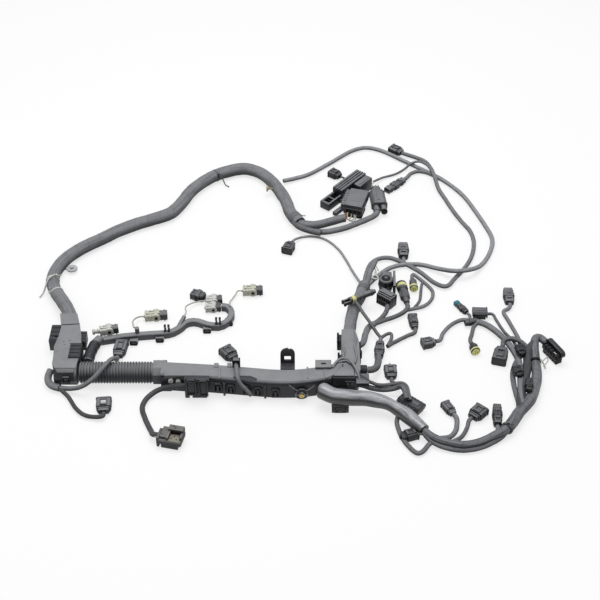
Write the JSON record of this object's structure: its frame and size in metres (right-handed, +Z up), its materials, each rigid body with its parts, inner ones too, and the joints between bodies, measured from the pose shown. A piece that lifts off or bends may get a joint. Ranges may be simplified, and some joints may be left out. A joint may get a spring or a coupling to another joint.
{
  "type": "engine wiring harness",
  "caption": "Vehicle wiring harness laid out flat: a rigid cable duct with a box, a ribbed conduit and a coil rail, and taped looms that loop out to plugs and a relay.",
  "frame": {"origin": "on the flat base of the main duct, near the middle of its length", "axes": "+X to the right along the main duct, +Y to the back, towards the long loops, +Z up"},
  "size_m": [0.7627, 0.7298, 0.057],
  "materials": {
    "tray": "black moulded plastic",
    "cover": "grey moulded plastic, lightly worn",
    "conduit": "dark grey corrugated plastic",
    "spring": "bent spring wire",
    "sleeve": "shiny dark grey sleeve",
    "grey_plug": "grey plug plastic",
    "black_plug": "black plug plastic",
    "pale_plug": "pale grey and black plug plastic",
    "yellow_plug": "pale yellow plug plastic",
    "loom": "grey cloth tape wound round the cables",
    "lead": "dark grey cloth tape",
    "wire": "pale wire sheath"
  },
  "bodies": {
    "root": {"junction_box_tray": "tray", "junction_box_cover": "cover", "corrugated_conduit": "conduit", "duct_tray": "tray", "duct_cover": "cover", "fixing_bracket": "tray", "spring_clip": "spring", "tee_tray": "tray", "tee_cover": "cover", "cable_sleeve": "sleeve", "coil_rail": "cover", "cam_plug": "grey_plug", "inline_plug": "grey_plug", "relay_side_plug": "black_plug", "knock_plug": "black_plug", "upright_plug": "grey_plug", "coupling_plug": "black_plug", "sensor_plug_rear": "black_plug", "tipped_plug": "grey_plug", "sleeve_side_plug": "black_plug", "slim_plug": "grey_plug", "flat_plug": "black_plug", "trunk_side_plug": "black_plug", "split_plug": "grey_plug", "yellow_tip_plug": "black_plug", "teal_tip_plug": "black_plug", "wide_plug": "black_plug", "control_plug": "black_plug", "stepped_plug": "grey_plug", "cluster_plug": "black_plug", "open_plug": "grey_plug", "conduit_side_plug": "grey_plug", "main_plug": "grey_plug", "duct_side_plug": "black_plug", "coil_plug_1": "pale_plug", "coil_plug_2": "pale_plug", "coil_plug_3": "pale_plug", "coil_plug_4": "pale_plug", "coil_plug_5": "pale_plug", "coil_plug_6": "pale_plug", "lever_plug": "grey_plug", "ring_plug": "black_plug", "yellow_plug": "yellow_plug", "rod_plug": "grey_plug", "fuse_holder": "grey_plug", "relay": "grey_plug", "twin_boot": "black_plug", "back_loom": "loom", "centre_loom": "loom", "right_loom": "loom", "lever_loom": "lead", "coupling_loom": "lead", "cap_lead": "lead", "sleeve_side_loom": "lead", "box_lead": "lead", "main_lead": "lead", "duct_side_lead": "lead", "coil_wire_1": "wire", "coil_wire_2": "wire", "relay_side_lead": "lead"}
  },
  "joints": []
}
